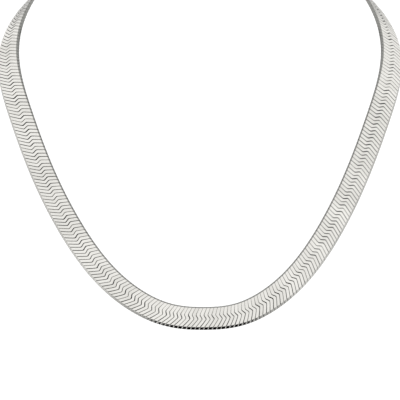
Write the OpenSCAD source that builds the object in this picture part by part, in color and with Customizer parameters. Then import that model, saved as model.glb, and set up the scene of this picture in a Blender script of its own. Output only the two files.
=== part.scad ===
// Herringbone chain: a flat band of slanted metal strips, closed into a necklace by two end caps and a clasp.
// Millimetres. X runs from left to right, Y from front to back, Z up. The origin is the middle of the clasp's
// neck side at the nape, where the necklace hangs.

/* [Loop] */
// Length of the whole closed loop, measured along the middle of the band and through the clasp
loop_length = 508; // [480:1:560]

/* [Band] */
// Width of the band
band_width = 9.5; // [8:0.5:12]
// Thickness of the band over the crests of its strips
band_thickness = 1.3; // [1:0.1:1.6]
// Pitch of the strips along the middle of the band
strip_pitch = 1.53; // [1.43:0.05:2.18]
// Depth of the groove between two strips, on either face
groove_depth = 0.25; // [0.1:0.05:0.35]
// Depth of the notch between two strips at the band's edges
edge_notch = 0.2; // [0:0.05:0.4]
// Share of the width taken by the outer row of strips
outer_row = 0.43; // [0.3:0.01:0.45]
// Share of the width taken by the narrow middle row
middle_row = 0.18; // [0.1:0.01:0.3]
// Slant of the outer row, in millimetres along the band for each millimetre across it
outer_slant = 0.66; // [0.4:0.02:1]
// Slant of the middle row, which leans the other way
middle_slant = 0.62; // [0.3:0.02:1]
// Slant of the inner row
inner_slant = 0.4; // [0.1:0.02:0.8]

/* [End caps] */
// Length of band held in a cap
cap_grip = 5; // [3.5:0.5:7]
// Wall of a cap
cap_wall = 0.4; // [0.3:0.05:0.6]
// Clearance between a cap and the band inside it
cap_clearance = 0.1; // [0.1:0.02:0.2]
// Length of a cap's tapered nose
cap_nose = 3.5; // [2.5:0.5:5]
// Width of the nose at its tip
cap_tip_width = 4; // [3:0.5:6]

/* [Rings] */
// Radius of a ring, to the middle of its wire
ring_radius = 1.6; // [1.5:0.1:2.2]
// Diameter of a ring's wire
ring_wire = 0.8; // [0.6:0.1:0.9]

/* [Clasp] */
// Thickness of the clasp
clasp_thickness = 1.4; // [1:0.1:1.5]
// Distance between the middles of the two rims that the rings hook round
clasp_span = 11; // [9:0.5:16]
// Radius of the clasp's round head
clasp_head_radius = 3; // [2.6:0.1:3.5]
// Width of the rims round the clasp's two eyes
clasp_rim = 1.1; // [0.8:0.1:1.2]
// Radius of the clasp's tail
clasp_tail_radius = 2; // [1.9:0.1:2.4]

/* [Hidden] */
$fn = 48;

// The route of the band's middle line, from the lowest point in front to the nape, for the right side. The left
// side is its mirror image, apart from the sway, which moves both sides the same way. Facing is the direction of
// the band's outer face, in degrees round from the front; tilt is how far the face looks up.
X = 0;
Y = 1;
Z = 2;
FACING = 3;
TILT = 4;
SWAY = 5;
ROUTE = [
  // X,    Y,     Z,     FACING, TILT, SWAY
  [0,      -1,    0,     0,      43,   1.3],
  [17,     3,     0,     0,      38.5, 1.1],
  [37,     10.5,  12,    -1,     37,   0.6],
  [52,     25,    31,    2,      33,   0.3],
  [63,     39.5,  50.5,  1,      31,   0],
  [71.5,   50.5,  72,    0,      36,   0],
  [79,     67.5,  91,    34,     40,   0],
  [72,     86.5,  109,   82,     40,   0],
  [52.5,   96.5,  125,   122,    35,   0],
  [27.5,   102,   135.5, 154,    29,   0],
  [0,      103,   139.5, 180,    27,   0]
];

last_row = len(ROUTE) - 1;

// A row of the route by its number, which is negative on the left side and goes on past the nape
function route_row(i) =
  let(past = abs(i) > last_row,
      row = ROUTE[past ? 2 * last_row - abs(i) : abs(i)],
      side = i < 0 ? -1 : 1)
  [side * (past ? -1 : 1) * row[X] + row[SWAY], row[Y], row[Z],
   side * (past ? 360 - row[FACING] : row[FACING]), row[TILT]];

// Weights of four neighbouring rows on a smooth curve, and their rates of change
function curve_weights(t) =
  [pow(1 - t, 3), 3 * pow(t, 3) - 6 * pow(t, 2) + 4, -3 * pow(t, 3) + 3 * pow(t, 2) + 3 * t + 1, pow(t, 3)] / 6;
function curve_rates(t) =
  [-pow(1 - t, 2), 3 * pow(t, 2) - 4 * t, -3 * pow(t, 2) + 2 * t + 1, pow(t, 2)] / 2;
function four_rows(i) = [for (k = [i - 1 : i + 2]) route_row(k)];
function route_at(u) = curve_weights(u - floor(u)) * four_rows(floor(u));
function route_rate(u) = curve_rates(u - floor(u)) * four_rows(floor(u));
function place(row) = [row[X], row[Y], row[Z]];
function unit(v) = v / norm(v);

// Arc length along the route as drawn, and the scale that gives the loop its real length
arc_steps = 640;
function step_to_u(i) = last_row * (2 * i / arc_steps - 1);
route_points = [for (i = [0 : arc_steps]) place(route_at(step_to_u(i)))];
drawn_arc = [for (i = 0, s = 0; i <= arc_steps;
                  s = s + (i < arc_steps ? norm(route_points[i + 1] - route_points[i]) : 0), i = i + 1) s];
route_scale = loop_length / drawn_arc[arc_steps];
arc_to_u = [for (i = [0 : arc_steps]) [drawn_arc[i] * route_scale, step_to_u(i)]];

// How the length of the loop is shared between the clasp, the rings, the caps and the band, and how far from the
// nape the band is held straight by its cap
ring_bite = ring_wire / 4;
ring_reach = cap_nose + ring_radius - ring_bite;
band_start = clasp_span / 2 + ring_reach;
band_length = loop_length - 2 * band_start;
strip_count = round(band_length / strip_pitch);
half_step = band_length / strip_count / 2;
straight_end = band_start + cap_grip + strip_pitch;

// Middle, direction, outward face and inward side of the band at an arc length from the nape
function outward(row) =
  [sin(row[FACING]) * cos(row[TILT]), -cos(row[FACING]) * cos(row[TILT]), sin(row[TILT])];
function route_frame(s) =
  let(curve_s = max(straight_end, min(loop_length - straight_end, s)),
      u = lookup(curve_s, arc_to_u),
      row = route_at(u),
      along = unit(place(route_rate(u))),
      face = unit(outward(row) - (outward(row) * along) * along))
  [place(row) * route_scale + along * (s - curve_s), along, face, cross(face, along)];

// The clasp lies midway between the two rings, and the middle of its neck side is the origin
left_ring = route_frame(band_start - ring_reach);
right_ring = route_frame(loop_length - band_start + ring_reach);
clasp_face = unit(left_ring[2] + right_ring[2]);
nape = (left_ring[0] + right_ring[0]) / 2 - clasp_face * clasp_thickness / 2;
function frame_at(s) = let(frame = route_frame(s)) [frame[0] - nape, frame[1], frame[2], frame[3]];

// Where the rows of strips end across the band, and how far along it each bend lies. The slants fade out inside
// the caps, so that the band's ends are cut square.
row_edges = [0, outer_row, outer_row + middle_row, 1];
row_bends = [
  0,
  outer_slant * outer_row,
  outer_slant * outer_row - middle_slant * middle_row,
  outer_slant * outer_row - middle_slant * middle_row + inner_slant * (1 - outer_row - middle_row)
] * band_width;
middle_bend = (row_bends[1] + row_bends[2]) / 2;
function slant_share(s) = max(0, min(1, s / cap_grip, (band_length - s) / cap_grip));

// One corner of the band: arc length from its start, row edge 0 to 3, upper or lower face, on a crest or in a groove
function band_corner(s, edge, side, crest) =
  let(frame = frame_at(band_start + s + (row_bends[edge] - middle_bend) * slant_share(s)),
      inset = (crest || edge == 1 || edge == 2) ? 0 : (edge == 0 ? edge_notch : -edge_notch),
      across = (row_edges[edge] - 0.5) * band_width + inset,
      height = side * (band_thickness / 2 - (crest ? 0 : groove_depth)))
  frame[0] + frame[3] * across + frame[2] * height;
function band_ring(k) =
  [for (edge = [0 : 3]) band_corner(k * half_step, edge, 1, k % 2 == 1),
   for (edge = [3 : -1 : 0]) band_corner(k * half_step, edge, -1, k % 2 == 1)];

corners = 8;
function band_faces(rings) =
  [for (k = [0 : rings - 2], i = [0 : corners - 1])
     let(a = k * corners + i, b = k * corners + (i + 1) % corners)
     each [[a, b, a + corners], [b, b + corners, a + corners]],
   for (k = [0, rings - 1], i = [1 : 3])
     let(a = k * corners + i, b = k * corners + corners - 1 - i, p = a - 1, q = b + 1)
     each (k == 0 ? [[p, q, a], [a, q, b]] : [[p, a, q], [a, b, q]])];

module chain()
  color("gainsboro")
    polyhedron(points = [for (k = [0 : 2 * strip_count]) each band_ring(k)],
               faces = band_faces(2 * strip_count + 1));

// Moves a piece drawn at the origin to a frame: its X along the band, its Y across it, its Z out of its face
module at_frame(middle, along, face) {
  across = cross(face, along);
  multmatrix([for (i = [0 : 2]) [along[i], across[i], face[i], middle[i]]]) children();
}

module ring()
  rotate([90, 0, 0]) rotate_extrude() translate([ring_radius, 0]) circle(d = ring_wire);

// A cap drawn with the band's end at the origin and the clasp on its +X side
pocket_width = band_width + 2 * cap_clearance;
pocket_thickness = band_thickness + 2 * cap_clearance;
cap_width = pocket_width + 2 * cap_wall;
cap_thickness = pocket_thickness + 2 * cap_wall;
cap_shoulder = cap_clearance + cap_wall;
cut_overrun = 1;
module end_cap()
  color("silver") {
    difference() {
      linear_extrude(cap_thickness, center = true)
        polygon([
          [-cap_grip, -cap_width / 2],
          [cap_shoulder, -cap_width / 2],
          [cap_nose, -cap_tip_width / 2],
          [cap_nose, cap_tip_width / 2],
          [cap_shoulder, cap_width / 2],
          [-cap_grip, cap_width / 2]
        ]);
      translate([-cap_grip - cut_overrun, -pocket_width / 2, -pocket_thickness / 2])
        cube([cap_grip + cut_overrun + cap_clearance, pocket_width, pocket_thickness]);
    }
    translate([ring_reach, 0, 0]) ring();
  }

left_end = frame_at(band_start);
right_end = frame_at(loop_length - band_start);
module end_cap_left() at_frame(left_end[0], -left_end[1], left_end[2]) end_cap();
module end_cap_right() at_frame(right_end[0], right_end[1], right_end[2]) end_cap();

// The clasp lies flat against the neck, with its head towards the right cap
head_x = clasp_span / 2 + clasp_rim / 2 - clasp_head_radius;
tail_x = clasp_span / 2 + clasp_rim / 2 - clasp_tail_radius;
module clasp()
  color("silver")
    at_frame(clasp_face * clasp_thickness / 2, [1, 0, 0], clasp_face)
      linear_extrude(clasp_thickness, center = true)
        difference() {
          union() {
            translate([head_x, 0]) circle(clasp_head_radius);
            translate([-tail_x, 0]) circle(clasp_tail_radius);
            polygon([[-tail_x, -clasp_tail_radius], [head_x, -clasp_head_radius],
                     [head_x, clasp_head_radius], [-tail_x, clasp_tail_radius]]);
          }
          translate([head_x, 0]) circle(clasp_head_radius - clasp_rim);
          translate([-tail_x, 0]) circle(clasp_tail_radius - clasp_rim);
        }

chain();
end_cap_left();
end_cap_right();
clasp();
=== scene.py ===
"""The looks of a herringbone chain: a flat band of slanted silver strips, end caps, rings and a clasp.

Everything is in metres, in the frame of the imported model: X from left to right, Y from front to back, Z
up, and the origin in the middle of the clasp's neck side.
"""
import math
import random

import bpy
import numpy as np
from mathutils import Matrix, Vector


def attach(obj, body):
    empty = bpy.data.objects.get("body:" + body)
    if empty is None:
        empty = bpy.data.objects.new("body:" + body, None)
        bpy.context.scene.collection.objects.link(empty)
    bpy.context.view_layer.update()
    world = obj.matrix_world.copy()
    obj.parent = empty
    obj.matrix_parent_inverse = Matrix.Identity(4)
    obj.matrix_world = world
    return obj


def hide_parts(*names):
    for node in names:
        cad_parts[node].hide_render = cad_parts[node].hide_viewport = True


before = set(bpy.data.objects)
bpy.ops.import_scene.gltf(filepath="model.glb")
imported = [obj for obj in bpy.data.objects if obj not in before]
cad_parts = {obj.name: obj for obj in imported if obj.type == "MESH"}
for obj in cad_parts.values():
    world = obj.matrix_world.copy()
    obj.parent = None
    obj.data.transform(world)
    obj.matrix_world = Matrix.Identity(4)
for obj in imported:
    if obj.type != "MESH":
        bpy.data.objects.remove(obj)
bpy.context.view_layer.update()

MM = 0.001

# The loop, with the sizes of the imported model. The band starts at a length along the loop from the nape,
# and the middle of a ring lies nearer the nape than that by the ring's reach.
LOOP_LENGTH = 508 * MM
BAND_WIDTH = 9.5 * MM
BAND_THICKNESS = 1.3 * MM
STRIP_PITCH = 1.53 * MM
BAND_START = 10.4 * MM
CAP_GRIP = 5 * MM
CLASP_THICKNESS = 1.4 * MM
RING_REACH = 4.9 * MM
BAND_LENGTH = LOOP_LENGTH - 2 * BAND_START
STRIP_COUNT = round(BAND_LENGTH / STRIP_PITCH)
PITCH = BAND_LENGTH / STRIP_COUNT

# The three rows of strips, from the outer edge: the shares of the width that the first two take, the
# slant of each row, in lengths along the band for each length across it, and the share of the width that
# softens each bend
OUTER_ROW = 0.43
MIDDLE_ROW = 0.18
OUTER_SLANT = 0.66
MIDDLE_SLANT = -0.62
INNER_SLANT = 0.4
BEND_SOFTNESS = 0.028
ROW_BENDS = (OUTER_ROW, OUTER_ROW + MIDDLE_ROW)
MIDDLE_ROW_PLACE = OUTER_ROW + MIDDLE_ROW / 2

# The route of the band's middle line in millimetres, from the lowest point in front to the nape, for the
# right side. Facing is how many degrees round from the front the outer face looks, and tilt how many
# degrees it looks up. The sway moves both sides the same way.
ROUTE = [
    # x, y, z, facing, tilt, sway
    (0, -1, 0, 0, 43, 1.3),
    (17, 3, 0, 0, 38.5, 1.1),
    (37, 10.5, 12, -1, 37, 0.6),
    (52, 25, 31, 2, 33, 0.3),
    (63, 39.5, 50.5, 1, 31, 0),
    (71.5, 50.5, 72, 0, 36, 0),
    (79, 67.5, 91, 34, 40, 0),
    (72, 86.5, 109, 82, 40, 0),
    (52.5, 96.5, 125, 122, 35, 0),
    (27.5, 102, 135.5, 154, 29, 0),
    (0, 103, 139.5, 180, 27, 0),
]
LAST_ROW = len(ROUTE) - 1


def route_row(i):
    """A row by its number, which is negative on the left side and goes on past the nape."""
    past = abs(i) > LAST_ROW
    x, y, z, facing, tilt, sway = ROUTE[2 * LAST_ROW - abs(i) if past else abs(i)]
    side = -1 if i < 0 else 1
    return [side * (-x if past else x) + sway, y, z, side * (360 - facing if past else facing), tilt]


# The rows of both sides, with the neighbours that a smooth curve needs past its ends
ROWS = np.array([route_row(i) for i in range(-LAST_ROW - 1, LAST_ROW + 3)], float)


def route_at(u, weights):
    """Rows blended at the places u on the route, by the four weights of a place between two rows."""
    first = np.minimum(np.floor(u).astype(int), LAST_ROW)
    blend = weights(u - first)
    return sum(w[:, None] * ROWS[first + LAST_ROW + k] for k, w in enumerate(blend))


def curve_weights(t):
    """How much each of four neighbouring rows counts at the share t of the way between the middle two."""
    first = (1 - t) ** 3 / 6
    second = (3 * t**3 - 6 * t**2 + 4) / 6
    third = (-3 * t**3 + 3 * t**2 + 3 * t + 1) / 6
    return first, second, third, t**3 / 6


def curve_rates(t):
    """How fast the four weights change."""
    return -((1 - t) ** 2) / 2, (3 * t**2 - 4 * t) / 2, (-3 * t**2 + 2 * t + 1) / 2, t**2 / 2


def unit(v):
    """Vectors brought to a length of 1."""
    return v / np.linalg.norm(v, axis=-1, keepdims=True)


# Arc length along the route as drawn, measured in steps, the scale that gives the loop its real length,
# and how far from the nape the band is held straight by its cap
ARC_STEPS = 640
STEP_U = np.linspace(-LAST_ROW, LAST_ROW, ARC_STEPS + 1)
STEP_POINTS = route_at(STEP_U, curve_weights)[:, :3] * MM
DRAWN_ARC = np.concatenate([[0], np.cumsum(np.linalg.norm(np.diff(STEP_POINTS, axis=0), axis=1))])
ROUTE_SCALE = LOOP_LENGTH / DRAWN_ARC[-1]
STRAIGHT_END = BAND_START + CAP_GRIP + STRIP_PITCH


def route_frames(s):
    """Middle, direction, outward face and inward side of the band at the arc lengths s from the nape."""
    s = np.atleast_1d(s).astype(float)
    on_curve = np.clip(s, STRAIGHT_END, LOOP_LENGTH - STRAIGHT_END)
    u = np.interp(on_curve, DRAWN_ARC * ROUTE_SCALE, STEP_U)
    row = route_at(u, curve_weights)
    along = unit(route_at(u, curve_rates)[:, :3])
    facing = np.radians(row[:, 3])
    tilt = np.radians(row[:, 4])
    level = np.cos(tilt)
    outward = np.stack([np.sin(facing) * level, -np.cos(facing) * level, np.sin(tilt)], axis=1)
    face = unit(outward - np.sum(outward * along, axis=1, keepdims=True) * along)
    middle = row[:, :3] * MM * ROUTE_SCALE + along * (s - on_curve)[:, None]
    return middle, along, face, np.cross(face, along)


def nape_place():
    """The middle of the clasp's neck side on the route as drawn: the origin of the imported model."""
    ends = np.array([BAND_START - RING_REACH, LOOP_LENGTH - BAND_START + RING_REACH])
    middle, _, face, _ = route_frames(ends)
    return middle.mean(axis=0) - unit(face.sum(axis=0)) * CLASP_THICKNESS / 2


NAPE = nape_place()

# How far to either side of a place the band's curve is taken from
CURVE_REACH = 5 * MM


def curvature(s):
    """How sharply the band turns towards its inner edge near the arc length s."""
    _, along, _, inward = route_frames([s - CURVE_REACH, s, s + CURVE_REACH])
    return float((along[2] - along[0]) @ inward[1]) / (2 * CURVE_REACH)


# A strip is a bar with a soft square section, and narrows towards its face and its back, which leaves a
# groove to the next strip. The grooves' widths are shares of the pitch, one for each row of strips. Where
# the band curves, they close on the inside of the curve, down to the tightest, and open on its outside. A
# squeeze of 1 would keep each strip as wide on the curve as on a straight band.
SECTION_POINTS = 16
FACE_SQUARENESS = 9
ROW_GROOVES = (0.07, 0.2, 0.078)
TIGHTEST_GROOVE = 0.01
SQUEEZE = 0.8

# The bevel at a strip's end, from the end towards the face: the place in lengths of the bevel, the share
# of its drop that is left there, the height of the strip's back in halves of the band's thickness, the
# groove's width as a share of the pitch, the section's squareness, and whether it takes the painted shade
# that darkens the band's edges
BEVEL = [
    # place, left, back, groove, squareness, painted shade
    (0, 1, -0.9, 0.12, 7, 1),
    (0.04, 0.96, -0.97, 0.08, 7, 1),
    (0.08, 0.92, -1, 0.06, 7, 1),
    (0.12, 0.88, -1, 0.06, 7, 1),
    (0.88, 0.12, -1, 0.06, 7, 1),
    (0.92, 0.08, -1, 0.06, 7, 1),
    (1, 0.02, -1, 0.03, 8, 1),
    (1.08, 0, -1, 0.03, 9, 0),
]

# The bevels on the band's two edges: the length across the band, the drop, and how strongly the painted
# shade darkens the bevel
OUTER_BEVEL = (0.56 * MM, 1.15 * MM, 0.15)
INNER_BEVEL = (0.65 * MM, 0.32 * MM, 1)

# The other sections of a strip: near each bend, in lengths of its softness, and as shares of the width
NEAR_BEND = (-1.6, -0.7, 0, 0.7, 1.6)
ON_ROWS = (0.07, 0.14, 0.26, MIDDLE_ROW_PLACE, 0.75, 0.86, 0.92)

# How the strips differ from each other: the lean of their faces in degrees, with its scatter, the scatter
# of their heights, the range of their tones, and the share of its tone that a strip has from the one
# before. A gap is a number from 0 to 1: every second one has the uneven part, and the rest is random. Its
# two widths, at 0 and at 1, are in widths of the row's groove.
STRIP_LEAN = -1.5
LEAN_SCATTER = 1.2
HEIGHT_SCATTER = 0.012 * MM
TONE_SCATTER = (-0.4, 1.4)
TONE_MEMORY = 0.7
UNEVEN_GAPS = 0.35
NARROW_GAP = 0.65
WIDE_GAP = 1.4
SCATTER_SEED = 11


def soft_step(x):
    """A step from 0 to 1, softened like the bends."""
    return (1 + x / np.sqrt(x * x + BEND_SOFTNESS**2)) / 2


def soft_ramp(x):
    """A ramp that rises from 0 with a slope of 1, softened like the bends."""
    return (x + np.sqrt(x * x + BEND_SOFTNESS**2)) / 2


def bend(t):
    """How far along the band a strip lies at the share t across it, from the outer edge."""
    first, second = ROW_BENDS
    rise = OUTER_SLANT * t
    rise = rise + (MIDDLE_SLANT - OUTER_SLANT) * soft_ramp(t - first)
    rise = rise + (INNER_SLANT - MIDDLE_SLANT) * soft_ramp(t - second)
    return rise * BAND_WIDTH


def groove_width(t):
    """The width of the groove beside a strip, as a share of the pitch, at the share t across the band."""
    first, second = ROW_BENDS
    outer, middle, inner = ROW_GROOVES
    return outer + (middle - outer) * soft_step(t - first) + (inner - middle) * soft_step(t - second)


def bevel(length, drop, edge_shade):
    """The sections of a bevelled end, each with its distance from the end in place of a share across."""
    drop = drop / (BAND_THICKNESS / 2)
    return [(place * length, 1 - left * drop, back, groove, squareness, edge_shade * edge_shaded)
            for place, left, back, groove, squareness, edge_shaded in BEVEL]


def stations():
    """Where a strip has a section: the share across the band, the section's top and bottom in halves of
    the band's thickness, the groove's width as a share of the pitch, the section's squareness, and the
    strength of the painted edge shade."""
    rows = [(depth / BAND_WIDTH, *rest) for depth, *rest in bevel(*OUTER_BEVEL)]
    rows += [(1 - depth / BAND_WIDTH, *rest) for depth, *rest in bevel(*INNER_BEVEL)]
    near_bends = [bend_at + k * BEND_SOFTNESS for bend_at in ROW_BENDS for k in NEAR_BEND]
    for t in (*near_bends, *ON_ROWS):
        rows.append((t, 1, -1, groove_width(t), FACE_SQUARENESS, 0))
    return sorted(rows)


# Every strip has the same stations. A value for each station is turned into a column where its section's
# points share it.
ACROSS, TOP, BOTTOM, GROOVE, SQUARENESS, EDGE_SHADE = np.array(stations()).T


def sections():
    """The soft square outline at each station, as shares of the strip's half width and half height."""
    angle = 2 * math.pi * np.arange(SECTION_POINTS) / SECTION_POINTS
    power = 2 / SQUARENESS[:, None]
    x = np.sign(np.cos(angle)) * np.abs(np.cos(angle)) ** power
    y = np.sign(np.sin(angle)) * np.abs(np.sin(angle)) ** power
    return x, y


SECTION_X, SECTION_Y = sections()
STRIP_POINTS = len(ACROSS) * SECTION_POINTS


def strip_faces(first):
    """The sides and the two ends of a strip whose points are numbered from the first."""
    end = first + STRIP_POINTS
    faces = []
    for ring in range(first, end - SECTION_POINTS, SECTION_POINTS):
        for k in range(SECTION_POINTS):
            a = ring + k
            b = ring + (k + 1) % SECTION_POINTS
            faces.append((a, a + SECTION_POINTS, b + SECTION_POINTS, b))
    faces.append(tuple(range(first, first + SECTION_POINTS)))
    faces.append(tuple(reversed(range(end - SECTION_POINTS, end))))
    return faces


def strip_points(number, gap, lean, lift):
    """The points of a strip, how deep the groove beside each one is, and its place on the grain."""
    place = BAND_START + (number + 0.5) * PITCH
    opened = GROOVE - SQUEEZE * curvature(place) * (ACROSS - 0.5) * BAND_WIDTH
    # How strongly the painted groove shade falls beside each point: more for a wide gap, less where the
    # curve closes the groove
    depth = gap * np.clip(opened / GROOVE, 0, 1)[:, None]
    groove = np.maximum(opened, TIGHTEST_GROOVE)[:, None] * (NARROW_GAP * (1 - gap) + WIDE_GAP * gap)
    reach = SECTION_X * (1 - groove * np.abs(SECTION_Y)) * PITCH / 2
    # A strip straightens inside a cap, so that the band ends square
    slanted = min(1, (place - BAND_START) / CAP_GRIP, (LOOP_LENGTH - BAND_START - place) / CAP_GRIP)
    s = place + (bend(ACROSS) - bend(MIDDLE_ROW_PLACE))[:, None] * slanted + reach
    middle, _, face, inward = route_frames(s.ravel())
    half_height = ((TOP - BOTTOM) / 2)[:, None]
    height = (((TOP + BOTTOM) / 2)[:, None] + SECTION_Y * half_height) * BAND_THICKNESS / 2
    up = (height - reach * lean + lift).ravel()
    across = np.repeat(ACROSS, SECTION_POINTS)
    points = middle - NAPE + inward * ((across - 0.5) * BAND_WIDTH)[:, None] + face * up[:, None]
    return points, depth.ravel(), np.stack([across * BAND_WIDTH, number * PITCH + reach.ravel()], axis=1)


def new_piece(name, points, faces, grain, attributes):
    """An object with smooth sides and flat ends, a UV map of its grain, and numbers at its points."""
    mesh = bpy.data.meshes.new(name)
    mesh.from_pydata(points.tolist(), [], faces)
    mesh.polygons.foreach_set("use_smooth", [len(face) < SECTION_POINTS for face in faces])
    for label, values in attributes.items():
        layer = mesh.attributes.new(label, "FLOAT", "POINT")
        layer.data.foreach_set("value", values.astype(np.float32))
    uv = mesh.uv_layers.new(name="grain")
    corner_points = np.zeros(len(mesh.loops), np.int32)
    mesh.loops.foreach_get("vertex_index", corner_points)
    uv.data.foreach_set("uv", grain[corner_points].astype(np.float32).ravel())
    mesh.update()
    piece = bpy.data.objects.new(name, mesh)
    bpy.context.scene.collection.objects.link(piece)
    return piece


def strips(name, numbers, scatter):
    """One piece with a closed bar for each strip number."""
    made = []
    faces = []
    tones = []
    # The first strip follows a middling tone and a middling gap
    tone = 0.5
    gap_before = 0.5
    for number in numbers:
        lean = math.tan(math.radians(STRIP_LEAN + scatter.gauss(0, LEAN_SCATTER)))
        lift = scatter.gauss(0, HEIGHT_SCATTER)
        tone = TONE_MEMORY * tone + (1 - TONE_MEMORY) * scatter.uniform(*TONE_SCATTER)
        gap_after = UNEVEN_GAPS * (number % 2) + (1 - UNEVEN_GAPS) * scatter.random()
        gap = np.where(SECTION_X < 0, gap_before, gap_after)
        gap_before = gap_after
        faces += strip_faces(len(made) * STRIP_POINTS)
        made.append(strip_points(number, gap, lean, lift))
        tones.append(tone)
    points, depths, grain = (np.concatenate(parts) for parts in zip(*made))
    from_middle = np.abs(SECTION_X)
    # A station is on a bevel where it takes the painted edge shade
    bevelled = EDGE_SHADE[:, None] > 0
    outer = ACROSS[:, None] < 0.5
    attributes = {
        "side": np.tile((from_middle * ~bevelled).ravel(), len(numbers)),
        "corner": np.tile((from_middle * (bevelled & outer)).ravel(), len(numbers)),
        # How strongly the painted shade darkens the band's edges at each point
        "edge_shade": np.tile(np.repeat(EDGE_SHADE, SECTION_POINTS), len(numbers)),
        "tone": np.repeat(tones, STRIP_POINTS),
        # How strongly the painted groove shade falls at each point
        "depth": depths,
    }
    return new_piece(name, points, faces, grain, attributes)


def put(tree, socket, value):
    """Sets a socket to a number or a colour, or links it to another node's output."""
    if isinstance(value, bpy.types.NodeSocket):
        tree.links.new(value, socket)
    else:
        socket.default_value = value


def ramp(tree, value, low, high, at_low=0, at_high=1):
    """A soft rise from one number to another, where a value goes from low to high."""
    node = tree.nodes.new("ShaderNodeMapRange")
    node.interpolation_type = "SMOOTHSTEP"
    settings = {"Value": value, "From Min": low, "From Max": high, "To Min": at_low, "To Max": at_high}
    for label, setting in settings.items():
        put(tree, node.inputs[label], setting)
    return node.outputs["Result"]


def calculate(tree, operation, *values):
    """A sum, a product or another operation on numbers and sockets."""
    node = tree.nodes.new("ShaderNodeMath")
    node.operation = operation
    for socket, value in zip(node.inputs, values):
        put(tree, socket, value)
    return node.outputs["Value"]


def mix(tree, factor, first, second):
    """The first colour where the factor is 0, and the second where it is 1."""
    node = tree.nodes.new("ShaderNodeMix")
    node.data_type = "RGBA"
    for label, value in (("Factor", factor), ("A", first), ("B", second)):
        put(tree, node.inputs[label], value)
    return node.outputs["Result"]


def attribute(tree, name):
    """A number that the mesh holds at each point."""
    node = tree.nodes.new("ShaderNodeAttribute")
    node.attribute_name = name
    return node.outputs["Fac"]


def noise(tree, place, scale, detail):
    """Noise at a place, with a scale for each direction of it, in lumps for each metre."""
    mapping = tree.nodes.new("ShaderNodeMapping")
    mapping.inputs["Scale"].default_value = scale
    tree.links.new(place, mapping.inputs["Vector"])
    node = tree.nodes.new("ShaderNodeTexNoise")
    node.inputs["Scale"].default_value = 1
    node.inputs["Detail"].default_value = detail
    tree.links.new(mapping.outputs["Vector"], node.inputs["Vector"])
    return node.outputs["Fac"]


# Smudges are the high parts of a noise, and duller than the silver round them. Noises have their scales
# in lumps for each metre: on the strips across the band and along it, where the third does nothing, and on
# the fittings in X, Y and Z. A range says where a noise or another number takes effect, and two values
# next to it are those before and past the range.
SMUDGE_DETAIL = 4
HAIRLINE_DETAIL = 2
DULL_RANGE = (0.35, 0.7)
ROUGHNESS = (0.16, 0.26)
STRIP_SMUDGES = (300, 500, 1)
STRIP_HAIRLINES = (600, 9000, 1)
STRIP_HAIRLINE_DEPTH = 0.002 * MM
FITTING_SMUDGES = (400, 400, 400)
FITTING_HAIRLINES = (300, 5000, 5000)
FITTING_HAIRLINE_DEPTH = 0.004 * MM

# The silver lies between a darker and a lighter colour, by its smudges and, on the strips, by each one's
# tone too. Painted shade darkens the sides of a strip's face beside the grooves, where shade falls between
# the strips: less where the gap is narrow and away from the smudges. The outer bevels have matt corners.
SMUDGE_RANGE = (0.3, 0.7)
SMUDGE_TONE = 0.5
TONE_RANGE = (0, 1.4)
STRIP_COLOURS = ((0.75, 0.738, 0.7, 1), (0.87, 0.857, 0.818, 1))
FITTING_COLOURS = ((0.8, 0.795, 0.765, 1), (0.88, 0.875, 0.845, 1))
# Painted shade: the near-black colour laid on the sides of the strips where shade falls in the grooves
GROOVE_SHADE_COLOUR = (0.03, 0.03, 0.028, 1)
GROOVE_RANGE = (0.86, 0.97)
GAP_SHADE = (0.25, 1)
# The painted groove shade is weaker away from the smudges
GROOVE_SHADE_SMUDGE_RANGE = (0.3, 0.6)
GROOVE_SHADE_BY_SMUDGE = (0.65, 1)
# Painted shade: a dark grey on the bevels that stands in for the shade and dark reflections along the
# band's edges
EDGE_SHADE_COLOUR = (0.3, 0.3, 0.285, 1)
MATT_COLOUR = (0.66, 0.66, 0.64, 1)
MATT_RANGE = (0.92, 1)


def polish(tree, shader, place, smudges, hairlines, hairline_depth):
    """Gives polished silver its smudges, which are duller, and its fine hairlines."""
    spots = noise(tree, place, smudges, SMUDGE_DETAIL)
    put(tree, shader.inputs["Roughness"], ramp(tree, spots, *DULL_RANGE, *ROUGHNESS))
    bump = tree.nodes.new("ShaderNodeBump")
    bump.inputs["Distance"].default_value = hairline_depth
    tree.links.new(noise(tree, place, hairlines, HAIRLINE_DETAIL), bump.inputs["Height"])
    tree.links.new(bump.outputs["Normal"], shader.inputs["Normal"])
    return spots


def new_material(name):
    """A material, with its tree of nodes and its shader."""
    material = bpy.data.materials.new(name)
    material.use_nodes = True
    return material, material.node_tree, material.node_tree.nodes["Principled BSDF"]


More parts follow.
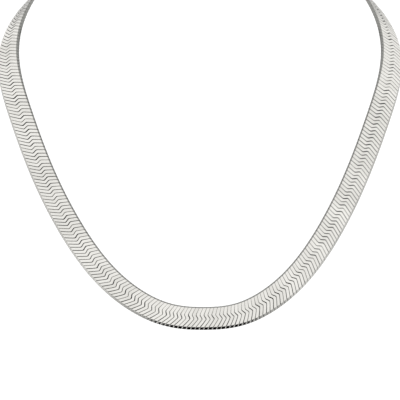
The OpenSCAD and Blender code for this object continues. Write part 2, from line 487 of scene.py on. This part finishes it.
def silver_strips():
    """Polished silver, with painted shade in the grooves and on the bevels, a slightly different tone on
    each strip and hairlines that run along it."""
    material, tree, shader = new_material("silver_strips")
    grain = tree.nodes.new("ShaderNodeUVMap")
    grain.uv_map = "grain"
    place = grain.outputs["UV"]
    spots = polish(tree, shader, place, STRIP_SMUDGES, STRIP_HAIRLINES, STRIP_HAIRLINE_DEPTH)
    smudged = ramp(tree, spots, *SMUDGE_RANGE)
    tone = calculate(tree, "MULTIPLY_ADD", smudged, SMUDGE_TONE, attribute(tree, "tone"))
    colour = mix(tree, ramp(tree, tone, *TONE_RANGE), *STRIP_COLOURS)
    # Painted shade in the grooves, stronger where the gap beside a strip is wide and near smudges
    darkness = ramp(tree, attribute(tree, "depth"), 0, 1, *GAP_SHADE)
    darkness = calculate(tree, "MULTIPLY", darkness, ramp(tree, spots, *GROOVE_SHADE_SMUDGE_RANGE, *GROOVE_SHADE_BY_SMUDGE))
    groove = calculate(tree, "MULTIPLY", ramp(tree, attribute(tree, "side"), *GROOVE_RANGE), darkness)
    colour = mix(tree, groove, colour, GROOVE_SHADE_COLOUR)
    # Painted shade on the bevels at the band's edges, full on the inner one and faint on the outer one
    colour = mix(tree, attribute(tree, "edge_shade"), colour, EDGE_SHADE_COLOUR)
    matt = ramp(tree, attribute(tree, "corner"), *MATT_RANGE)
    put(tree, shader.inputs["Base Color"], mix(tree, matt, colour, MATT_COLOUR))
    put(tree, shader.inputs["Metallic"], calculate(tree, "SUBTRACT", 1, matt))
    return material


def silver_fittings():
    """Polished silver of the caps, rings and clasp, with smudges and hairlines."""
    material, tree, shader = new_material("silver_fittings")
    shader.inputs["Metallic"].default_value = 1
    place = tree.nodes.new("ShaderNodeTexCoord").outputs["Object"]
    spots = polish(tree, shader, place, FITTING_SMUDGES, FITTING_HAIRLINES, FITTING_HAIRLINE_DEPTH)
    put(tree, shader.inputs["Base Color"], mix(tree, ramp(tree, spots, *SMUDGE_RANGE), *FITTING_COLOURS))
    return material


def build_chain():
    """The band's strips, half of them in each of two pieces, which stand for the chain's solid."""
    scatter = random.Random(SCATTER_SEED)
    material = silver_strips()
    half = STRIP_COUNT // 2
    for name, numbers in (("strips_left", range(half)), ("strips_right", range(half, STRIP_COUNT))):
        piece = strips(name, numbers, scatter)
        piece.data.materials.append(material)
        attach(piece, "root")
        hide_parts("chain")


# Points closer than the weld distance become one, and so do faces that meet at less than the flat angle.
# Edges sharper than the edge angle are rounded. Angles are in degrees.
EDGE_ROUNDING = {"end_cap_left": 0.15 * MM, "end_cap_right": 0.15 * MM, "clasp": 0.25 * MM}
WELD_DISTANCE = 0.001 * MM
FLAT_ANGLE = 1
EDGE_ANGLE = 35
EDGE_SEGMENTS = 3


def dress_fittings():
    """The caps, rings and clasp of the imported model, with softly rounded edges."""
    material = silver_fittings()
    for node, rounding in EDGE_ROUNDING.items():
        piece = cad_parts[node]
        piece.data.materials.clear()
        piece.data.materials.append(material)
        piece.modifiers.new("weld", "WELD").merge_threshold = WELD_DISTANCE
        flat = piece.modifiers.new("flat", "DECIMATE")
        flat.decimate_type = "DISSOLVE"
        flat.angle_limit = math.radians(FLAT_ANGLE)
        edges = piece.modifiers.new("edges", "BEVEL")
        edges.width = rounding
        edges.segments = EDGE_SEGMENTS
        edges.limit_method = "ANGLE"
        edges.angle_limit = math.radians(EDGE_ANGLE)
        edges.harden_normals = True


# The camera stands in front of the necklace, a little above it: its elevation in degrees, its distance
# from what it is aimed at in metres, and its lens and its sensor in millimetres
CAMERA_ELEVATION = 12
CAMERA_DISTANCE = 1.3
CAMERA_LENS = 303.9
CAMERA_SENSOR = 36
CAMERA_AIM = Vector((0, -0.09275, -0.09364))


def build_camera():
    """A camera with a long lens, aimed at the front of the necklace."""
    elevation = math.radians(CAMERA_ELEVATION)
    back = Vector((0, -math.cos(elevation), math.sin(elevation)))
    data = bpy.data.cameras.new("camera")
    data.sensor_width = CAMERA_SENSOR
    data.lens = CAMERA_LENS
    camera = bpy.data.objects.new("camera", data)
    camera.location = CAMERA_AIM + back * CAMERA_DISTANCE
    camera.rotation_mode = "QUATERNION"
    camera.rotation_quaternion = (-back).to_track_quat("-Z", "Y")
    bpy.context.scene.collection.objects.link(camera)
    bpy.context.scene.camera = camera


WHITE = (1, 1, 1, 1)
FLOOR_HEIGHT = -0.4
FLOOR_SIZE = 14
FLOOR_GLOW = 0.15

# What the silver mirrors, by the parts of a direction: white above and below, grey walls between their
# foot and their top, and low in front an opening, black in its middle and grey past its sides. A foot or
# a top is a range of heights, from -1 straight down to 1 straight up, and a side is a range of how far a
# direction points to the left or the right, from 0 to 1. Each range is where the darkness changes, and
# the two of a darkness are those before the side and past it.
WALL_FOOT = (-0.55, -0.35)
WALL_TOP = (0.2, 0.42)
WALL_SIDE = (0.55, 0.85)
WALL_DARKNESS = (0.4, 0.3)
OPENING_FOOT = (-1, -0.98)
OPENING_TOP = (-0.45, -0.25)
OPENING_SIDE = (0.57, 0.59)
OPENING_DARKNESS = (1, 0.5)


def build_floor():
    """A white floor well below the necklace, which the silver doesn't mirror."""
    half = FLOOR_SIZE / 2
    mesh = bpy.data.meshes.new("floor")
    corners = [(-half, -half), (half, -half), (half, half), (-half, half)]
    mesh.from_pydata([(x, y, FLOOR_HEIGHT) for x, y in corners], [], [(0, 1, 2, 3)])
    floor = bpy.data.objects.new("floor", mesh)
    bpy.context.scene.collection.objects.link(floor)
    material, _, shader = new_material("floor_white")
    shader.inputs["Base Color"].default_value = WHITE
    shader.inputs["Roughness"].default_value = 1
    shader.inputs["Specular IOR Level"].default_value = 0
    shader.inputs["Emission Color"].default_value = WHITE
    shader.inputs["Emission Strength"].default_value = FLOOR_GLOW
    mesh.materials.append(material)
    floor.visible_glossy = False


def belt(tree, height, foot, top):
    """1 between the foot and the top, 0 below and above them, and soft over the range of each."""
    return calculate(tree, "SUBTRACT", ramp(tree, height, *foot), ramp(tree, height, *top))


def build_light():
    """White light from all round. Only what the silver mirrors shows the walls and the opening."""
    world = bpy.data.worlds.new("studio")
    bpy.context.scene.world = world
    world.use_nodes = True
    tree = world.node_tree
    background = tree.nodes["Background"]
    background.inputs["Color"].default_value = WHITE
    direction = tree.nodes.new("ShaderNodeSeparateXYZ")
    tree.links.new(tree.nodes.new("ShaderNodeTexCoord").outputs["Generated"], direction.inputs["Vector"])
    side = calculate(tree, "ABSOLUTE", direction.outputs["X"])
    height = direction.outputs["Z"]
    in_front = calculate(tree, "LESS_THAN", direction.outputs["Y"], 0)
    walls = belt(tree, height, WALL_FOOT, WALL_TOP)
    walls = calculate(tree, "MULTIPLY", walls, ramp(tree, side, *WALL_SIDE, *WALL_DARKNESS))
    opening = belt(tree, height, OPENING_FOOT, OPENING_TOP)
    opening = calculate(tree, "MULTIPLY", opening, ramp(tree, side, *OPENING_SIDE, *OPENING_DARKNESS))
    opening = calculate(tree, "MULTIPLY", opening, in_front)
    light = calculate(tree, "SUBTRACT", 1, calculate(tree, "MAXIMUM", walls, opening))
    mirrored = tree.nodes.new("ShaderNodeLightPath").outputs["Is Glossy Ray"]
    light = calculate(tree, "MAXIMUM", light, calculate(tree, "SUBTRACT", 1, mirrored))
    put(tree, background.inputs["Strength"], light)


def build_studio():
    """A white studio, whose colours are shown as they are."""
    bpy.context.scene.view_settings.view_transform = "Standard"
    build_floor()
    build_light()


build_chain()
dress_fittings()
build_camera()
build_studio()
